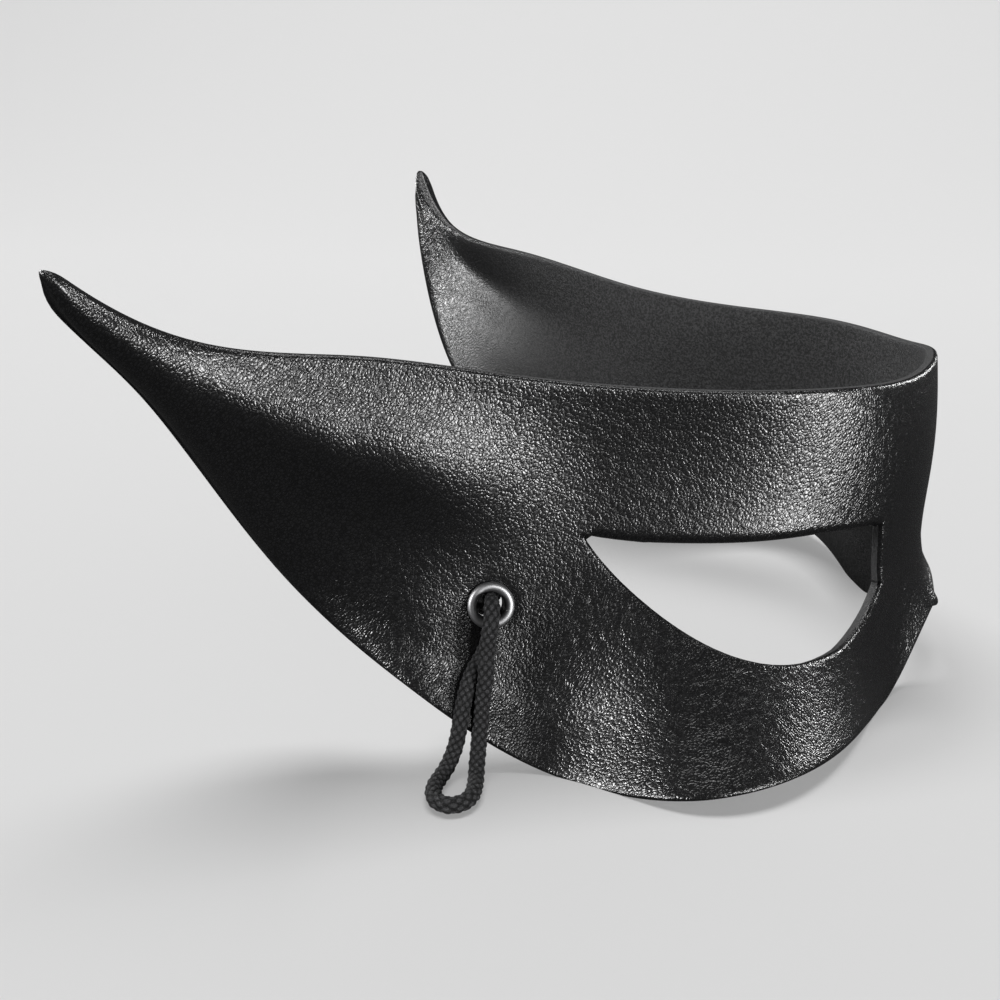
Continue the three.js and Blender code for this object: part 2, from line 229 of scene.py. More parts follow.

# Greys of the looks, as light given back
# Painted shade: the grain's creases get a darker grey than its pebbles
CREASE_SHADE_GREY = (0.0015, 0.0015, 0.0016)
PEBBLE_GREY = (0.004, 0.004, 0.0043)
NAP_DARK = (0.0006, 0.0006, 0.0008)
NAP_LIGHT = (0.02, 0.02, 0.0207)
CUT_DARK = (0.003, 0.003, 0.0032)
CUT_LIGHT = (0.03, 0.03, 0.0313)
STEEL_DARK = (0.2, 0.2, 0.204)
STEEL_LIGHT = (0.3, 0.3, 0.304)
# Painted shade: the near black of the gaps between the braid's strands
BRAID_GAP_SHADE = (0.0003, 0.0003, 0.0004)
BRAID_STRAND = (0.018, 0.018, 0.0188)
# Painted highlight: the lighter grey of fibres on the braid's crowns
BRAID_CROWN_GLINT = (0.09, 0.09, 0.093)
WHITE = (1.0, 1.0, 1.0, 1.0)


def smooth(value, low, high):
    """Runs smoothly from 0 at low to 1 at high."""
    share = np.clip((value - low) / (high - low), 0.0, 1.0)
    return share * share * (3 - 2 * share)


def mirrored_curve(knots, sign):
    """A natural cubic through knots that start at zero, carried on past zero as it is, or turned over."""
    knots = np.array(knots, float)
    x = np.concatenate([-knots[:0:-1, 0], knots[:, 0]])
    y = np.concatenate([sign * knots[:0:-1, 1], knots[:, 1]])
    n = len(x)
    h = np.diff(x)
    system = np.zeros((n, n))
    turn = np.zeros(n)
    system[0, 0] = system[-1, -1] = 1
    for i in range(1, n - 1):
        system[i, i - 1:i + 2] = h[i - 1], 2 * (h[i - 1] + h[i]), h[i]
        turn[i] = 6 * ((y[i + 1] - y[i]) / h[i] - (y[i] - y[i - 1]) / h[i - 1])
    bend = np.linalg.solve(system, turn)

    def value(at):
        at = np.asarray(at, float)
        i = np.clip(np.searchsorted(x, at) - 1, 0, n - 2)
        a = (x[i + 1] - at) / h[i]
        b = (at - x[i]) / h[i]
        curved = (a**3 - a) * bend[i] + (b**3 - b) * bend[i + 1]
        return a * y[i] + b * y[i + 1] + curved * h[i] ** 2 / 6

    return value


heading = mirrored_curve(PLAN, -1)
brow_edge = mirrored_curve(BROW_EDGE, 1)
lower_edge = mirrored_curve([(at, height) for at, height, _ in LOWER_EDGE], 1)
lower_out = mirrored_curve([(at, out) for at, _, out in LOWER_EDGE], 1)


def walked_plan():
    """The brow's plan walked in even steps: the distances, and the places to the front and to the side."""
    middles = np.arange(PLAN_STEP / 2, EAR_REACH + PAST_EAR, PLAN_STEP)
    turn = np.radians(heading(middles))
    to_front = np.concatenate([[0], np.cumsum(-np.sin(turn) * PLAN_STEP)])
    to_side = np.concatenate([[0], np.cumsum(-np.cos(turn) * PLAN_STEP)])
    return np.arange(len(middles) + 1) * PLAN_STEP, to_front, to_side


PLAN_AT, PLAN_X, PLAN_Y = walked_plan()


def stand_out(at, height):
    """How far the outside of the hide stands out from the brow's plan."""
    top = brow_edge(at)
    deep = top - height
    reach = np.abs(at)
    share = np.clip(deep / np.maximum(top - lower_edge(at), LEAST_HEIGHT), 0, 1)
    power = CHEEK_CURL + NOSE_CURL * np.exp(-((at / NOSE_HALF_WIDTH) ** 2))
    cheek = lower_out(at) * share**power
    brow = BULGE_OUT * np.sin(np.pi * np.clip(deep / BULGE_DEEP, 0, 1)) * np.exp(-((at / BULGE_REACH) ** 4))
    along_ear = smooth(reach, RIDGE_FROM, RIDGE_FULL) * (1 - smooth(reach, RIDGE_FADING, RIDGE_GONE))
    ridge = RIDGE_OUT * along_ear * np.exp(-(((share - RIDGE_AT) / RIDGE_WIDTH) ** 2))
    flare = LIP_OUT * smooth(share, LIP_FROM, 1.0) * np.exp(-(((reach - LIP_AT) / LIP_REACH) ** 4))
    return cheek + brow + ridge + flare


def outside(at, height):
    """Points of the outer skin as it is worn, from their distance and height on the flattened hide."""
    reach = np.abs(at)
    side = np.where(at < 0, -1.0, 1.0)
    turn = np.radians(heading(at))
    out = stand_out(at, height)
    x = np.interp(reach, PLAN_AT, PLAN_X) + np.cos(turn) * out
    y = side * np.interp(reach, PLAN_AT, PLAN_Y) - np.sin(turn) * out
    return np.stack([x, y, height + 0 * x], -1)


def on_hide(at, height, depth):
    """Points at a depth square to the outside of the hide, outwards when positive, as it is worn."""
    at = np.asarray(at, float)
    height = np.asarray(height, float)
    along = outside(at + NEIGHBOUR, height) - outside(at - NEIGHBOUR, height)
    up = outside(at, height + NEIGHBOUR) - outside(at, height - NEIGHBOUR)
    out = np.cross(up, along)
    out /= np.linalg.norm(out, axis=-1, keepdims=True)
    return outside(at, height) + out * np.asarray(depth, float)[..., None]


def in_row(points):
    """Worn millimetres to metres in the row's frame."""
    return (np.asarray(points, float) + AT_REST) * MM


def bezier(controls, count):
    """Points along a Bezier arc of two, three or four control points, without its last one."""
    points = np.array(controls, float)
    steps = np.linspace(0, 1, count, endpoint=False)
    power = len(points) - 1
    weights = [math.comb(power, k) * steps**k * (1 - steps) ** (power - k) for k in range(power + 1)]
    return sum(weight[:, None] * point for weight, point in zip(weights, points))


def rounding_of(up):
    """How round an eye hole's rim is, where a way of length 1 from the hole to the leather goes up so far."""
    return RIM_ROUND + (BROW_ROLL - RIM_ROUND) * smooth(up, BROW_ROLL_FROM, BROW_ROLL_FULL)


def eye_outline():
    """The eye hole on the flattened hide, each arc in steps of about the same length."""
    arcs = []
    for controls in EYE_ARCS:
        ends = np.linalg.norm(np.subtract(controls[-1], controls[0]))
        arcs.append(bezier(controls, max(3, int(ends / EYE_STEP))))
    return np.concatenate(arcs)


def circle(centre, radius, count):
    turn = np.linspace(0, 2 * math.pi, count, endpoint=False)
    return np.array(centre) + radius * np.stack([np.cos(turn), np.sin(turn)], -1)


def inside(points, outline):
    """Which points lie inside a closed outline."""
    start_x, start_y = outline.T
    end_x, end_y = np.roll(outline, -1, axis=0).T
    x, y = points[:, 0][:, None], points[:, 1][:, None]
    crosses = (start_y > y) != (end_y > y)
    rise = np.where(end_y == start_y, LEAST_RISE, end_y - start_y)
    met = start_x + (y - start_y) / rise * (end_x - start_x)
    return (crosses & (x < met)).sum(1) % 2 == 1


def widened(outline):
    """The outline moved outwards by its rim's rounding at each point."""
    before = outline - np.roll(outline, 1, axis=0)
    after = np.roll(outline, -1, axis=0) - outline
    normal = np.stack([-(before + after)[:, 1], (before + after)[:, 0]], -1)
    normal /= np.linalg.norm(normal, axis=1, keepdims=True)
    x, y = outline.T
    area = np.sum(x * np.roll(y, -1) - np.roll(x, -1) * y)
    normal *= -np.sign(area)
    return outline + normal * rounding_of(normal[:, 1:])


def finish_mesh(name, bm, material):
    """A bmesh in metres made an object at the origin."""
    for face in bm.faces:
        face.smooth = True
    mesh = bpy.data.meshes.new(name)
    bm.to_mesh(mesh)
    bm.free()
    mesh.materials.append(material)
    piece = bpy.data.objects.new(name, mesh)
    bpy.context.scene.collection.objects.link(piece)
    return piece


def float_layer(bm, name):
    return bm.verts.layers.float.get(name) or bm.verts.layers.float.new(name)


def column_at(place):
    """The distance along the hide of a column at -1 to 1, with columns gathered at the ears' tips."""
    share = abs(place)
    if share <= TIP_SHARE:
        at = TIP_FROM * share / TIP_SHARE
    else:
        left = 1 - (share - TIP_SHARE) / (1 - TIP_SHARE)
        at = TIP_FROM + (EAR_END - TIP_STOP - TIP_FROM) * (1 - left**TIP_GATHER)
    return math.copysign(at, place)


def tip_rounding(at):
    """The share of the ear's size that is left towards its round tip."""
    past = np.clip((np.abs(at) - EAR_END + EAR_TIP_ROUND) / EAR_TIP_ROUND, 0, 1)
    return np.sqrt(1 - past**2)


def half_height(at):
    """Half the height of the flattened hide, which shrinks into the ears' round tips."""
    return (brow_edge(at) - lower_edge(at)) / 2 * tip_rounding(at)


def edge_rounding(half):
    """How round the leather's edge is where the hide is so high: less at the ears' tips."""
    return np.minimum(RIM_ROUND, RIM_SHARE * half)


def flat_sheet():
    """The outer skin on the flattened hide, one even grid between the brow edge and the lower edge."""
    bm = bmesh.new()
    bmesh.ops.create_grid(bm, x_segments=COLUMNS, y_segments=ROWS, size=1.0)
    at = np.array([column_at(v.co.x) for v in bm.verts])
    share = np.array([(1 - v.co.y) / 2 for v in bm.verts])
    half = half_height(at)
    middle = (brow_edge(at) + lower_edge(at)) / 2
    height = middle + (half - edge_rounding(half)) * (1 - 2 * share)
    for vert, x, y in zip(bm.verts, at, height):
        vert.co = (x, y, 0)
    return bm


def cut_hole(bm, outline):
    """Cuts an outline out of the flat sheet, so that its rim runs along cut edges."""
    low, high = outline.min(0) - CUT_MARGIN, outline.max(0) + CUT_MARGIN
    corners = {face: face.verts[0].co for face in bm.faces}
    near = {face for face, at in corners.items() if low[0] < at.x < high[0] and low[1] < at.y < high[1]}
    for a, b in zip(outline, np.roll(outline, -1, axis=0)):
        run = b - a
        length = np.linalg.norm(run)
        run /= length
        normal = np.array([-run[1], run[0]])
        met = []
        for face in near:
            across = [(v.co.x - a[0]) * normal[0] + (v.co.y - a[1]) * normal[1] for v in face.verts]
            along = [(v.co.x - a[0]) * run[0] + (v.co.y - a[1]) * run[1] for v in face.verts]
            if min(across) < 0 < max(across) and max(along) > 0 and min(along) < length:
                met.append(face)
        if not met:
            continue
        edges = {e for f in met for e in f.edges}
        verts = {v for f in met for v in f.verts}
        near.difference_update(met)
        cut = bmesh.ops.bisect_plane(
            bm, geom=met + list(edges) + list(verts), dist=CUT_SNAP,
            plane_co=(a[0], a[1], 0), plane_no=(normal[0], normal[1], 0),
        )
        near.update(g for g in cut["geom"] if isinstance(g, bmesh.types.BMFace))
    near = [f for f in near if f.is_valid]
    centres = np.array([f.calc_center_median()[:2] for f in near])
    gone = [f for f, hit in zip(near, inside(centres, outline)) if hit]
    bmesh.ops.delete(bm, geom=gone, context="FACES")
    lone = [v for v in bm.verts if not v.link_faces]
    bmesh.ops.delete(bm, geom=lone, context="VERTS")


def rim_directions(bm, rim):
    """Layers that give each vertex of the open rims its place, the way out of the sheet and its rounding."""
    layers = [float_layer(bm, name) for name in ("base_x", "base_y", "out_x", "out_y", "round")]
    base_x, base_y, out_x, out_y, round_layer = layers
    outward = {}
    for edge in rim:
        face = edge.link_faces[0]
        a, b = edge.verts
        run = b.co - a.co
        side = Vector((run.y, -run.x, 0))
        if side.length == 0:
            continue
        side.normalize()
        if side.dot(face.calc_center_median() - a.co) > 0:
            side.negate()
        for vert in (a, b):
            outward.setdefault(vert, Vector((0, 0, 0)))
            outward[vert] += side * max(run.length, LEAST_RUN)
    for vert, out in outward.items():
        out.normalize()
        vert[base_x], vert[base_y] = vert.co.x, vert.co.y
        vert[out_x], vert[out_y] = out.x, out.y
        reach = abs(vert.co.x)
        on_eye = EYE_SPAN[0] < reach < EYE_SPAN[1] and EYE_LEVELS[0] < vert.co.y < EYE_LEVELS[1]
        plain = RIM_ROUND if reach < TIP_FROM else edge_rounding(half_height(reach))
        vert[round_layer] = float(rounding_of(-out.y) if on_eye else plain)
    return layers


def hide_bmesh():
    """The flattened hide with its holes: outer skin, inner skin and the rounded rims between them."""
    bm = flat_sheet()
    eye = eye_outline()
    place = np.array(EYELET_PLACE)
    for side in (1, -1):
        turn = np.array([side, 1.0])
        cut_hole(bm, widened(eye) * turn)
        cut_hole(bm, circle(place, HOLE_IN_HIDE + RIM_ROUND, HOLE_STEPS) * turn)
    bmesh.ops.remove_doubles(bm, verts=bm.verts[:], dist=SAME_ON_SHEET)
    inner = bmesh.ops.duplicate(bm, geom=bm.faces[:] + bm.edges[:] + bm.verts[:])["geom"]
    inner_faces = [g for g in inner if isinstance(g, bmesh.types.BMFace)]
    inner_set = set(inner_faces)
    rim = [e for e in bm.edges if e.is_boundary and e.link_faces[0] not in inner_set]
    base_x, base_y, out_x, out_y, round_layer = rim_directions(bm, rim)
    for vert in {v for f in inner_faces for v in f.verts}:
        vert.co.z = -SHEET
    bmesh.ops.reverse_faces(bm, faces=inner_faces)
    for out, deep, far in RIM_SECTION:
        made = bmesh.ops.extrude_edge_only(bm, edges=rim)["geom"]
        rim = [g for g in made if isinstance(g, bmesh.types.BMEdge)]
        for vert in {v for e in rim for v in e.verts}:
            rounding = vert[round_layer]
            if far:
                rounding = min(rounding, RIM_ROUND)
            vert.co.x = vert[base_x] + vert[out_x] * out * rounding
            vert.co.y = vert[base_y] + vert[out_y] * out * rounding
            vert.co.z = deep * rounding - SHEET if far else -deep * rounding
    bmesh.ops.remove_doubles(bm, verts=bm.verts[:], dist=SAME_POINT)
    bmesh.ops.recalc_face_normals(bm, faces=bm.faces[:])
    return bm


def form_hide(bm):
    """Carries the flat hide to its place as worn, and keeps how deep each point lies in the leather."""
    depth_layer, round_layer = float_layer(bm, "depth"), float_layer(bm, "round")
    rounding = np.array([v[round_layer] for v in bm.verts])
    flat = np.array([v.co[:] for v in bm.verts])
    at, height, depth = flat.T
    reach = np.abs(at)
    rolled = smooth(reach, EAR_FROM, EAR_ROLLED)
    top, low = brow_edge(at), lower_edge(at)
    half = np.maximum(half_height(at), LEAST_HALF)
    share = np.clip((1 - (height - (top + low) / 2) / half) / 2, 0, 1)
    full = np.maximum(EAR_THICKNESS * np.minimum(1, (top - low) / 2 / ROLL_HALF), EAR_EDGE)
    lens = EAR_EDGE + (full - EAR_EDGE) * np.sqrt(4 * share * (1 - share))
    thickness = (SHEET + (lens - SHEET) * rolled) * tip_rounding(at)
    level = (depth + SHEET / 2) / (SHEET / 2)
    formed = (level * thickness - SHEET) / 2
    away = np.hypot(reach - EYELET_PLACE[0], height - EYELET_PLACE[1])
    pressed = SEAT_DEEP * (1 - smooth(away, EYELET_OUTER - SEAT_WALL, SEAT))
    formed -= pressed * (level + 1) / 2
    worn = on_hide(at, height, formed)
    worn[:, 2] = np.maximum(worn[:, 2], GROUND)
    past_skin = np.clip((-depth - rounding) / (SHEET - rounding), 0, 1)
    wrapped = smooth(reach, WRAPPED_FROM, WRAPPED_FULL)
    wrapped_layer = float_layer(bm, "wrapped")
    for vert, place, deep, share in zip(bm.verts, in_row(worn), past_skin, wrapped):
        vert.co = place
        vert[depth_layer] = deep
        vert[wrapped_layer] = share


class Sock:
    """A shader value that takes part in Python sums and gives Math nodes."""

    def __init__(self, look, socket):
        self.look = look
        self.socket = socket

    def _math(self, operation, *values, clamp=False):
        settings = {"operation": operation, "use_clamp": clamp}
        return self.look.node("ShaderNodeMath", settings, dict(enumerate(values)))

    def __add__(self, other):
        return self._math("ADD", self, other)

    def __sub__(self, other):
        return self._math("SUBTRACT", self, other)

    def __mul__(self, other):
        return self._math("MULTIPLY", self, other)

    def __rsub__(self, other):
        return self._math("SUBTRACT", other, self)

    __radd__ = __add__
    __rmul__ = __mul__

    def clamped(self):
        """Held between 0 and 1."""
        return self._math("ADD", self, 0.0, clamp=True)

    def step(self, low, high):
        """Runs smoothly from 0 at low to 1 at high."""
        values = {"Value": self, "From Min": low, "From Max": high, "To Min": 0.0, "To Max": 1.0}
        return self.look.node("ShaderNodeMapRange", {"interpolation_type": "SMOOTHSTEP"}, values)


class Look:
    """A material whose nodes are made by one call each."""

    def __init__(self, name):
        self.material = bpy.data.materials.new(name)
        self.material.use_nodes = True
        self.tree = self.material.node_tree
        self.shader = self.tree.nodes["Principled BSDF"]

    def node(self, kind, settings=None, values=None, out=0):
        """Any node, by its type, settings, values or links of its sockets, and the output that is wanted."""
        made = self.tree.nodes.new(kind)
        for key, value in (settings or {}).items():
            setattr(made, key, value)
        for key, value in (values or {}).items():
            self.feed(made.inputs[key], value)
        return Sock(self, made.outputs[out])

    def feed(self, socket, value):
        if isinstance(value, Sock):
            self.tree.links.new(value.socket, socket)
        else:
            socket.default_value = value

    def set(self, **values):
        """Values or links of the shader's own sockets."""
        for key, value in values.items():
            self.feed(self.shader.inputs[key.replace("_", " ")], value)

    def place(self):
        return self.node("ShaderNodeTexCoord", out="Object")

    def attribute(self, name):
        return self.node("ShaderNodeAttribute", {"attribute_name": name}, out="Fac")

    def stretched(self, place, scale, turn=(0, 0, 0)):
        """The place measured along turned axes, so that a pattern on it grows along them by the scale."""
        values = {"Vector": place, "Scale": scale, "Rotation": turn}
        return self.node("ShaderNodeMapping", {"vector_type": "TEXTURE"}, values)

    def wandering(self, place, scale, detail, reach):
        """The place shifted by up to the reach, so that the cells of a pattern on it aren't straight."""
        values = {"Vector": place, "Scale": scale, "Detail": detail}
        wander = self.node("ShaderNodeTexNoise", None, values, out="Color")
        shift = self.node("ShaderNodeVectorMath", {"operation": "SCALE"}, {0: wander, "Scale": reach})
        return self.node("ShaderNodeVectorMath", {"operation": "ADD"}, {0: place, 1: shift})

    def noise(self, place, scale, detail, rough=0.5):
        values = {"Vector": place, "Scale": scale, "Detail": detail, "Roughness": rough}
        return self.node("ShaderNodeTexNoise", None, values)

    def cells(self, place, scale, feature="F1", random=1.0):
        values = {"Vector": place, "Scale": scale, "Randomness": random}
        return self.node("ShaderNodeTexVoronoi", {"feature": feature}, values)

    def colour(self, share, first, second):
        """A mix of two colours, each a value or a link, that is the second one at a share of 1."""
        mix = self.tree.nodes.new("ShaderNodeMix")
        mix.data_type = "RGBA"
        self.feed(mix.inputs[0], share)
        for socket, value in ((6, first), (7, second)):
            self.feed(mix.inputs[socket], value if isinstance(value, Sock) else (*value, 1.0))
        return Sock(self, mix.outputs[2])

    def bump(self, height, distance, strength=1.0):
        values = {"Height": height, "Distance": distance, "Strength": strength}
        return self.node("ShaderNodeBump", None, values)


def leather_look(sizes):
    """Black pebbled hide, napped inside and fibrous at its cut edges, told apart by the depth in it."""
    look = Look("black_pebbled_leather")
    place = look.place()
    depth = look.attribute("depth")
    wrapped = look.attribute("wrapped")
    bare = 1.0 - wrapped
    inner = depth.step(*INNER_SKIN) * bare
    cut = depth.step(*OUTER_SKIN) * (1.0 - depth.step(*INNER_SKIN)) * bare
    skin = (1.0 - inner - cut).clamped()
    grain = look.stretched(look.wandering(place, *WANDER_NOISE, WANDER_REACH), GRAIN_STRETCH, GRAIN_TURN)
    pebble = look.cells(grain, sizes.pebbles, "F1", random=PEBBLE_RANDOM)
    crease = look.cells(grain, sizes.pebbles, "DISTANCE_TO_EDGE", random=PEBBLE_RANDOM)
    domes = 1.0 - pebble * pebble * DOME_FALL
    valleys = crease.step(0.0, CREASE_WIDTH)
    fine = look.noise(place, *FINE_NOISE)
    grained = domes * DOMES + valleys * CREASES + fine * FINE
    small = look.cells(grain, sizes.pebbles * SMALLER_PEBBLES)
    nap = look.noise(place, *NAP_NOISE)
    inside_grain = (1.0 - small * small) * INSIDE_PEBBLES + nap * INSIDE_NAP
    fibres = look.noise(look.stretched(place, CUT_STRETCH), *FIBRE_NOISE)
    relief = grained * skin + fibres * CUT_FIBRES * cut + inside_grain * inner
    # The creases' darker grey is painted shade; the pebbles keep the leather's own black
    dark = look.colour(valleys, CREASE_SHADE_GREY, PEBBLE_GREY)
    inner_tint = look.colour(nap.step(*NAP_BAND), NAP_DARK, NAP_LIGHT)
    cut_tint = look.colour(fibres.step(*CUT_BAND), CUT_DARK, CUT_LIGHT)
    tint = look.colour(inner, look.colour(cut, dark, cut_tint), inner_tint)
    gloss = SKIN_ROUGH + fine * SKIN_ROUGH_SPREAD
    rough = gloss * skin + CUT_ROUGH * cut + INNER_ROUGH * inner
    look.set(Base_Color=tint, Roughness=rough.clamped(), Specular_IOR_Level=LEATHER_SHINE)
    look.set(Normal=look.bump(relief, GRAIN_DEEP))
    return look.material


def steel_look():
    """Dark steel with brushed streaks that run through the eyelet, and faint clouds."""
    look = Look("dark_brushed_steel")
    place = look.place()
    brushed = look.noise(look.stretched(place, BRUSHED_STRETCH), *BRUSHED_NOISE)
    clouds = look.noise(place, *CLOUD_NOISE)
    rough = STEEL_ROUGH + brushed * STEEL_ROUGH_SPREAD
    look.set(Base_Color=look.colour(clouds, STEEL_DARK, STEEL_LIGHT), Metallic=1.0)
    look.set(Roughness=rough.clamped(), Normal=look.bump(brushed, BRUSHED_DEEP, 0.5))
    return look.material


def braid_look():
    """Charcoal yarn, with painted shade that blackens the gaps between the strands and painted highlights of
    lighter fibres on their crowns.
    """
    look = Look("charcoal_braid")
    place = look.place()
    relief = look.attribute("relief")
    fibre = look.noise(place, *YARN_NOISE)
    # Painted shade: below the strands' foot the yarn is darkened to near black
    tint = look.colour(relief.step(STRAND_FOOT, 1.0), BRAID_GAP_SHADE, BRAID_STRAND)
    # Mixes in a painted highlight: lighter fibres where the strands' crowns stand highest
    worn = look.colour(fibre.step(*CROWN_GLINT_BAND) * relief * CROWN_GLINT_SHARE, tint, BRAID_CROWN_GLINT)
    look.set(Base_Color=worn, Normal=look.bump(fibre, YARN_DEEP))
    look.set(Roughness=0.75, Specular_IOR_Level=0.15, Sheen_Weight=0.02, Sheen_Roughness=0.5)
    return look.material


def paper_look(sizes):
    """Matt paper that also lets some light through from below."""
    look = Look("pale_paper")
    shade = sizes.paper_shade
    look.set(Base_Color=(shade, shade, shade, 1.0), Roughness=1.0, Specular_IOR_Level=0.0)
    look.set(Emission_Color=WHITE, Emission_Strength=sizes.paper_glow)
    return look.material


def route_points(side):
    """The cord's middle line in worn millimetres: a centripetal curve through the route's points."""
    knots = np.array(CORD_ROUTE) * (1, side, 1)
    ends = np.concatenate([[2 * knots[0] - knots[1]], knots, [2 * knots[-1] - knots[-2]]])
    step = np.linspace(0, 1, ROUTE_STEPS, endpoint=False)[:, None]
    run = []
    for i in range(1, len(ends) - 2):
        p0, p1, p2, p3 = ends[i - 1:i + 3]
        gaps = [max(np.linalg.norm(b - a) ** 0.5, SAME_POINT) for a, b in ((p0, p1), (p1, p2), (p2, p3))]
        leave = ((p1 - p0) / gaps[0] - (p2 - p0) / (gaps[0] + gaps[1]) + (p2 - p1) / gaps[1]) * gaps[1]
        reach = ((p2 - p1) / gaps[1] - (p3 - p1) / (gaps[1] + gaps[2]) + (p3 - p2) / gaps[2]) * gaps[1]
        square = -3 * p1 + 3 * p2 - 2 * leave - reach
        cube = 2 * p1 - 2 * p2 + leave + reach
        run.append(p1 + leave * step + square * step**2 + cube * step**3)
    return np.concatenate(run + [knots[-1:]])


def evenly(points, count):
    """Points in even steps along the line through the given ones, and its length."""
    lengths = np.concatenate([[0], np.cumsum(np.linalg.norm(np.diff(points, axis=0), axis=1))])
    steps = np.linspace(0, lengths[-1], count)
    places = np.stack([np.interp(steps, lengths, points[:, k]) for k in range(3)], -1)
    return places, lengths[-1]


def braid_relief(turn, run):
    """The height of the uppermost strand, from 0 in the gaps to 1, on a round braid."""
    one_way = BRAID_STRANDS * (turn / (2 * math.pi) + run / BRAID_PITCH)
    other_way = BRAID_STRANDS * (turn / (2 * math.pi) - run / BRAID_PITCH)
    over = (np.floor(one_way) + np.floor(other_way)) % 2 == 0
    from_one, from_other = one_way % 1 - 0.5, other_way % 1 - 0.5
    across = np.where(over, from_one, from_other)
    along = np.where(over, from_other, from_one)
    crown = np.sqrt(np.clip(1 - (STRAND_NARROW * across) ** 2, 0, 1))
    return crown * np.cos(math.pi * along * STRAND_ARCH) ** STRAND_FLAT


def braided_tube(points, radii, closed=False, sides=CORD_SIDES):
    """A tube with a braid's relief along a middle line, in millimetres, made from a flat grid."""
    count = len(points)
    bm = bmesh.new()
    bmesh.ops.create_grid(bm, x_segments=count - 1, y_segments=sides, size=1.0)
    if closed:
        ahead = np.roll(points, -1, axis=0) - np.roll(points, 1, axis=0)
    else:
        ahead = np.gradient(points, axis=0)
    ahead /= np.linalg.norm(ahead, axis=1, keepdims=True)
    normals = np.zeros_like(points)
    normal = np.cross(ahead[0], (0, 0, 1))
    for i in range(count):
        normal = normal - ahead[i] * (normal @ ahead[i])
        normal /= np.linalg.norm(normal)
        normals[i] = normal
    binormals = np.cross(ahead, normals)
    step = np.linalg.norm(np.diff(points, axis=0), axis=1)
    runs = np.concatenate([[0], np.cumsum(step)])
    relief_layer = float_layer(bm, "relief")
    column = np.array([round((v.co.x + 1) / 2 * (count - 1)) for v in bm.verts])
    turn = np.array([(v.co.y + 1) * math.pi for v in bm.verts])
    relief = braid_relief(turn, runs[column])
    radius = radii[column] * (BRAID_CORE + BRAID_RAISED * relief)
    spoke = np.cos(turn)[:, None] * normals[column] + np.sin(turn)[:, None] * binormals[column]
    places = points[column] + radius[:, None] * spoke
    for vert, place, height in zip(bm.verts, places * MM, relief):
        vert.co = place
        vert[relief_layer] = height
    bmesh.ops.remove_doubles(bm, verts=bm.verts[:], dist=SAME_POINT * MM)
    if not closed:
        open_edges = [e for e in bm.edges if e.is_boundary]
        bmesh.ops.holes_fill(bm, edges=open_edges, sides=0)
    bmesh.ops.recalc_face_normals(bm, faces=bm.faces[:])
    return bm


def make_cord(name, side, material):
    """A cord from its knot out through the eyelet, where it is squeezed, round its loop and back."""
    path, length = evenly(route_points(side), CORD_STEPS)
    neck = on_hide(side * EYELET_PLACE[0], EYELET_PLACE[1], CORD_SQUEEZE_DEPTH)
    near = np.exp(-((np.linalg.norm(path - neck, axis=1) / CORD_SQUEEZE_REACH) ** 4))
    radii = CORD_ACROSS / 2 * (1 - CORD_SQUEEZE * near)
    row_path = path + AT_REST
    cord = finish_mesh(f"{name}_braided_cord", braided_tube(row_path, radii), material)
    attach(cord, BODY)
    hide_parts(f"{name}_cord")
    return cord


def eyelet_frame(side):
    """The turn and place, in millimetres in the row's frame, of a piece made round +Z at an eyelet."""
    place = on_hide(side * EYELET_PLACE[0], EYELET_PLACE[1], 0.0)
    out = Vector(on_hide(side * EYELET_PLACE[0], EYELET_PLACE[1], 1.0) - place).normalized()
    turn = out.to_track_quat("Z", "Y").to_matrix().to_4x4()
    return Matrix.Translation(Vector(place + AT_REST)) @ turn


def make_knot(name, side, material):
    """A trefoil of braid, drawn tight behind the eyelet, that holds both ends of the cord."""
    turn = np.linspace(0, 2 * math.pi, KNOT_STEPS)
    across = np.sin(turn) + 2 * np.sin(2 * turn)
    up = np.cos(turn) - 2 * np.cos(2 * turn)
    points = np.stack([across, up, -np.sin(3 * turn)], -1) * KNOT_HALF + (0, 0, KNOT_DEPTH)
    bm = braided_tube(points, np.full(len(points), KNOT_ACROSS / 2), closed=True, sides=KNOT_SIDES)
    bm.transform(Matrix.Scale(1 / MM, 4))
    bm.transform(eyelet_frame(side))
    bm.transform(Matrix.Scale(MM, 4))
    knot = finish_mesh(f"{name}_tight_knot", bm, material)
    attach(knot, BODY)
    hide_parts(f"{name}_cord_knot")
    return knot


def make_eyelet(name, side, material):
    """A turned ring: round lip outside, barrel through the leather, flat flange behind."""
    turn = np.linspace(0, math.pi, LIP_STEPS)
    middle = (EYELET_HOLE + EYELET_OUTER) / 2
    half = (EYELET_OUTER - EYELET_HOLE) / 2
    lip = [(middle + half * math.cos(t), EYELET_BASE + EYELET_LIP * math.sin(t)) for t in turn]
    near, far = EYELET_BACK
    bevel = EYELET_BEVEL
    section = lip + [
        (EYELET_HOLE, near), (EYELET_HOLE, far + bevel), (EYELET_HOLE + bevel, far),
        (EYELET_OUTER - bevel, far), (EYELET_OUTER, far + bevel), (EYELET_OUTER, near - bevel),
        (EYELET_OUTER - bevel, near), (EYELET_BARREL, near), (EYELET_BARREL, EYELET_BASE),
    ]
    bm = bmesh.new()
    verts = [bm.verts.new((radius, 0, height)) for radius, height in section]
    edges = [bm.edges.new(pair) for pair in zip(verts, verts[1:] + verts[:1])]
    bmesh.ops.spin(
        bm, geom=verts + edges, cent=(0, 0, 0), axis=(0, 0, 1), angle=2 * math.pi,
        steps=EYELET_STEPS, use_merge=True,
    )
    bmesh.ops.remove_doubles(bm, verts=bm.verts[:], dist=SAME_POINT)
    bmesh.ops.recalc_face_normals(bm, faces=bm.faces[:])
    bm.transform(eyelet_frame(side))
    bm.transform(Matrix.Scale(MM, 4))
    ring = finish_mesh(f"{name}_steel_eyelet", bm, material)
    ring.data.set_sharp_from_angle(angle=math.radians(EYELET_SHARP))
    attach(ring, BODY)
    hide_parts(f"{name}_eyelet")
    return ring


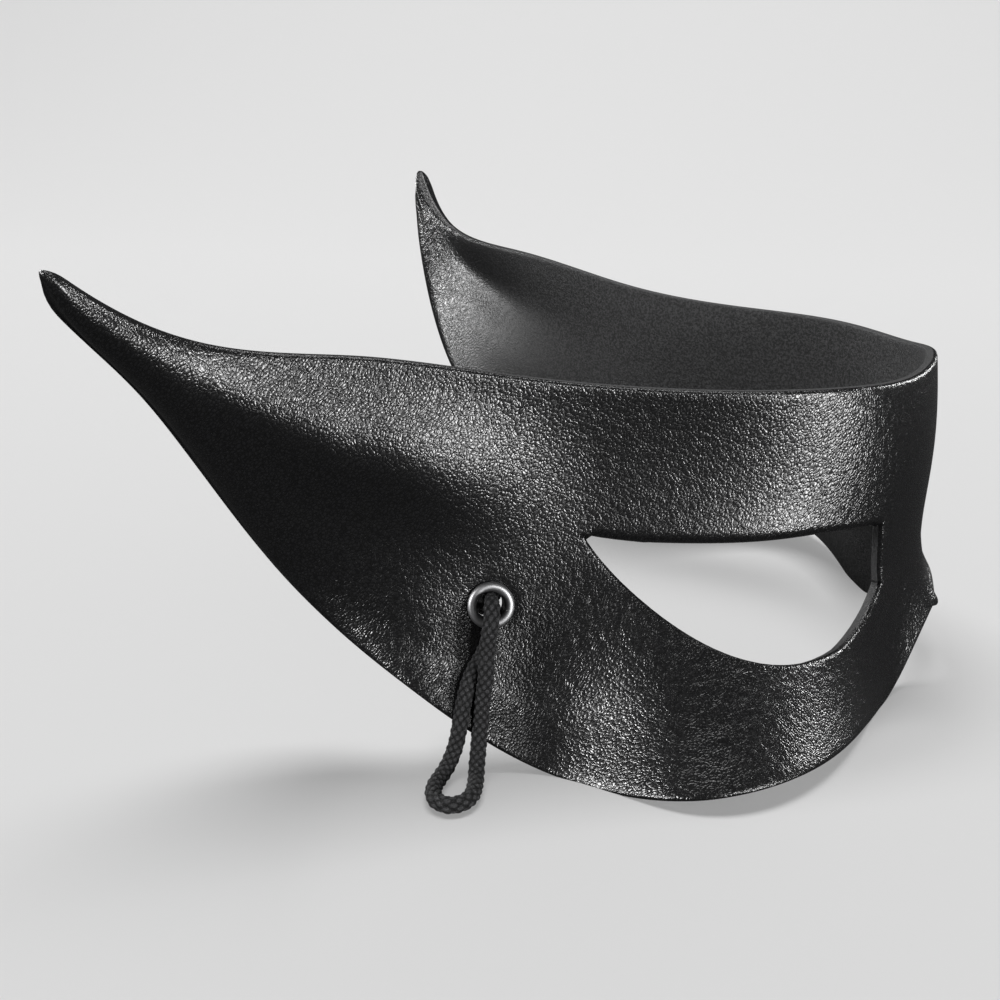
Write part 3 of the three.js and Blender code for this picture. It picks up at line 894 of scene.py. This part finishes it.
class MaskSizes(bpy.types.PropertyGroup):
    pebbles: bpy.props.FloatProperty(
        name="Pebbles", description="Pebbles of the grain along a metre of the hide",
        default=1600.0, min=100.0,
    )
    paper_shade: bpy.props.FloatProperty(
        name="Paper shade", description="How much light the paper gives back",
        default=0.5, min=0.0, max=1.0, subtype="FACTOR",
    )
    paper_glow: bpy.props.FloatProperty(
        name="Paper glow", description="Light that comes through the paper from below",
        default=0.26, min=0.0,
    )
    light_power: bpy.props.FloatProperty(
        name="Softbox power", description="Power that each softbox gives its own share of",
        default=105.0, min=0.0, unit="POWER",
    )
    room_light: bpy.props.FloatProperty(
        name="Room light", description="Even light from all round",
        default=0.06, min=0.0,
    )


class MASK_OT_hide(bpy.types.Operator):
    """Make the formed hide"""

    bl_idname = "mask.hide"
    bl_label = "Hide"

    def execute(self, context):
        bm = hide_bmesh()
        form_hide(bm)
        hide = finish_mesh("formed_hide", bm, leather_look(context.scene.mask_sizes))
        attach(hide, BODY)
        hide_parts("leather_shell")
        return {"FINISHED"}


class MASK_OT_eyelets(bpy.types.Operator):
    """Make both steel eyelets"""

    bl_idname = "mask.eyelets"
    bl_label = "Eyelets"

    def execute(self, context):
        material = steel_look()
        for name, side in SIDES:
            make_eyelet(name, side, material)
        return {"FINISHED"}


class MASK_OT_cords(bpy.types.Operator):
    """Make both braided cords and the knots behind the eyelets"""

    bl_idname = "mask.cords"
    bl_label = "Cords"

    def execute(self, context):
        material = braid_look()
        for name, side in SIDES:
            knot = make_knot(name, side, material)
            make_cord(name, side, material)
        return {"FINISHED"}


def swept(place, start):
    """How far out and how high a point of the flat paper comes to lie once it sweeps up past the start."""
    past = (abs(place) - start) / SWEEP_ROUND
    if past <= 0:
        return place, 0.0
    turn = min(past, math.pi / 2)
    out = start + SWEEP_ROUND * math.sin(turn)
    return math.copysign(out, place), SWEEP_ROUND * (1 - math.cos(turn) + past - turn)


def paper_sweep():
    """A wide sheet of paper that lies on the table and sweeps up all round, soonest behind the mask."""
    bm = bmesh.new()
    bmesh.ops.create_grid(bm, x_segments=SWEEP_PARTS, y_segments=SWEEP_PARTS, size=SWEEP_HALF)
    for vert in bm.verts:
        x, rise = swept(vert.co.x, SWEEP_ELSEWHERE)
        y, lift = swept(vert.co.y, SWEEP_FROM if vert.co.y > 0 else SWEEP_ELSEWHERE)
        vert.co = (x, y, max(rise, lift))
    return bm


def soft_light(name, away, distance, size, power):
    """A softbox that faces the mask from a direction away from it."""
    light = bpy.data.lights.new(name, "AREA")
    light.shape = "RECTANGLE"
    light.size, light.size_y = size
    light.energy = power
    lamp = bpy.data.objects.new(name, light)
    away = Vector(away).normalized()
    lamp.location = Vector(LIT_PLACE) + away * distance
    lamp.rotation_euler = away.to_track_quat("Z", "Y").to_euler()
    bpy.context.scene.collection.objects.link(lamp)
    return lamp


def set_lights(paper, power):
    """The softboxes, all but one of which leave the paper unlit."""
    unlit = bpy.data.collections.new("paper_unlit_from_the_sides")
    unlit.objects.link(paper)
    for name, away, distance, size, share, on_paper in SOFTBOXES:
        lamp = soft_light(name, away, distance, size, power * share)
        if not on_paper:
            lamp.light_linking.receiver_collection = unlit
    unlit.collection_objects[0].light_linking.link_state = "EXCLUDE"


def set_room(strength):
    """Even white light from all round."""
    world = bpy.data.worlds.new("studio")
    world.use_nodes = True
    background = world.node_tree.nodes["Background"]
    background.inputs["Color"].default_value = WHITE
    background.inputs["Strength"].default_value = strength
    bpy.context.scene.world = world


def set_camera():
    """The camera, which faces its target from an azimuth round it and an elevation above it."""
    azimuth, elevation = math.radians(CAMERA_AZIMUTH), math.radians(CAMERA_ELEVATION)
    level = math.cos(elevation)
    away = Vector((math.sin(azimuth) * level, -math.cos(azimuth) * level, math.sin(elevation)))
    lens = bpy.data.cameras.new("camera")
    lens.lens = CAMERA_LENS
    lens.sensor_width = CAMERA_SENSOR
    lens.clip_start = CAMERA_NEAR
    camera = bpy.data.objects.new("camera", lens)
    camera.location = (Vector(CAMERA_TARGET) + away * CAMERA_DISTANCE) * MM
    camera.rotation_euler = away.to_track_quat("Z", "Y").to_euler()
    bpy.context.scene.collection.objects.link(camera)
    bpy.context.scene.camera = camera
    bpy.context.scene.view_settings.view_transform = "Standard"


class MASK_OT_stage(bpy.types.Operator):
    """Set the paper, the lights and the camera"""

    bl_idname = "mask.stage"
    bl_label = "Stage"

    def execute(self, context):
        sizes = context.scene.mask_sizes
        paper = finish_mesh("studio_paper", paper_sweep(), paper_look(sizes))
        paper.visible_glossy = False
        set_lights(paper, sizes.light_power)
        set_room(sizes.room_light)
        set_camera()
        return {"FINISHED"}


class MASK_PT_panel(bpy.types.Panel):
    """The mask's pieces"""

    bl_label = "Leather elf mask"
    bl_idname = "MASK_PT_panel"
    bl_space_type = "VIEW_3D"
    bl_region_type = "UI"
    bl_category = "Mask"

    def draw(self, context):
        for name in ("pebbles", "paper_shade", "paper_glow", "light_power", "room_light"):
            self.layout.prop(context.scene.mask_sizes, name)
        for operator in ("mask.stage", "mask.cords", "mask.eyelets", "mask.hide"):
            self.layout.operator(operator)


CLASSES = (MaskSizes, MASK_OT_stage, MASK_OT_cords, MASK_OT_eyelets, MASK_OT_hide, MASK_PT_panel)


def register():
    for kind in CLASSES:
        bpy.utils.register_class(kind)
    bpy.types.Scene.mask_sizes = bpy.props.PointerProperty(type=MaskSizes)


def unregister():
    del bpy.types.Scene.mask_sizes
    for kind in reversed(CLASSES):
        bpy.utils.unregister_class(kind)


def main():
    register()
    bpy.ops.mask.stage()
    bpy.ops.mask.cords()
    bpy.ops.mask.eyelets()
    bpy.ops.mask.hide()


if __name__ == "__main__":
    main()
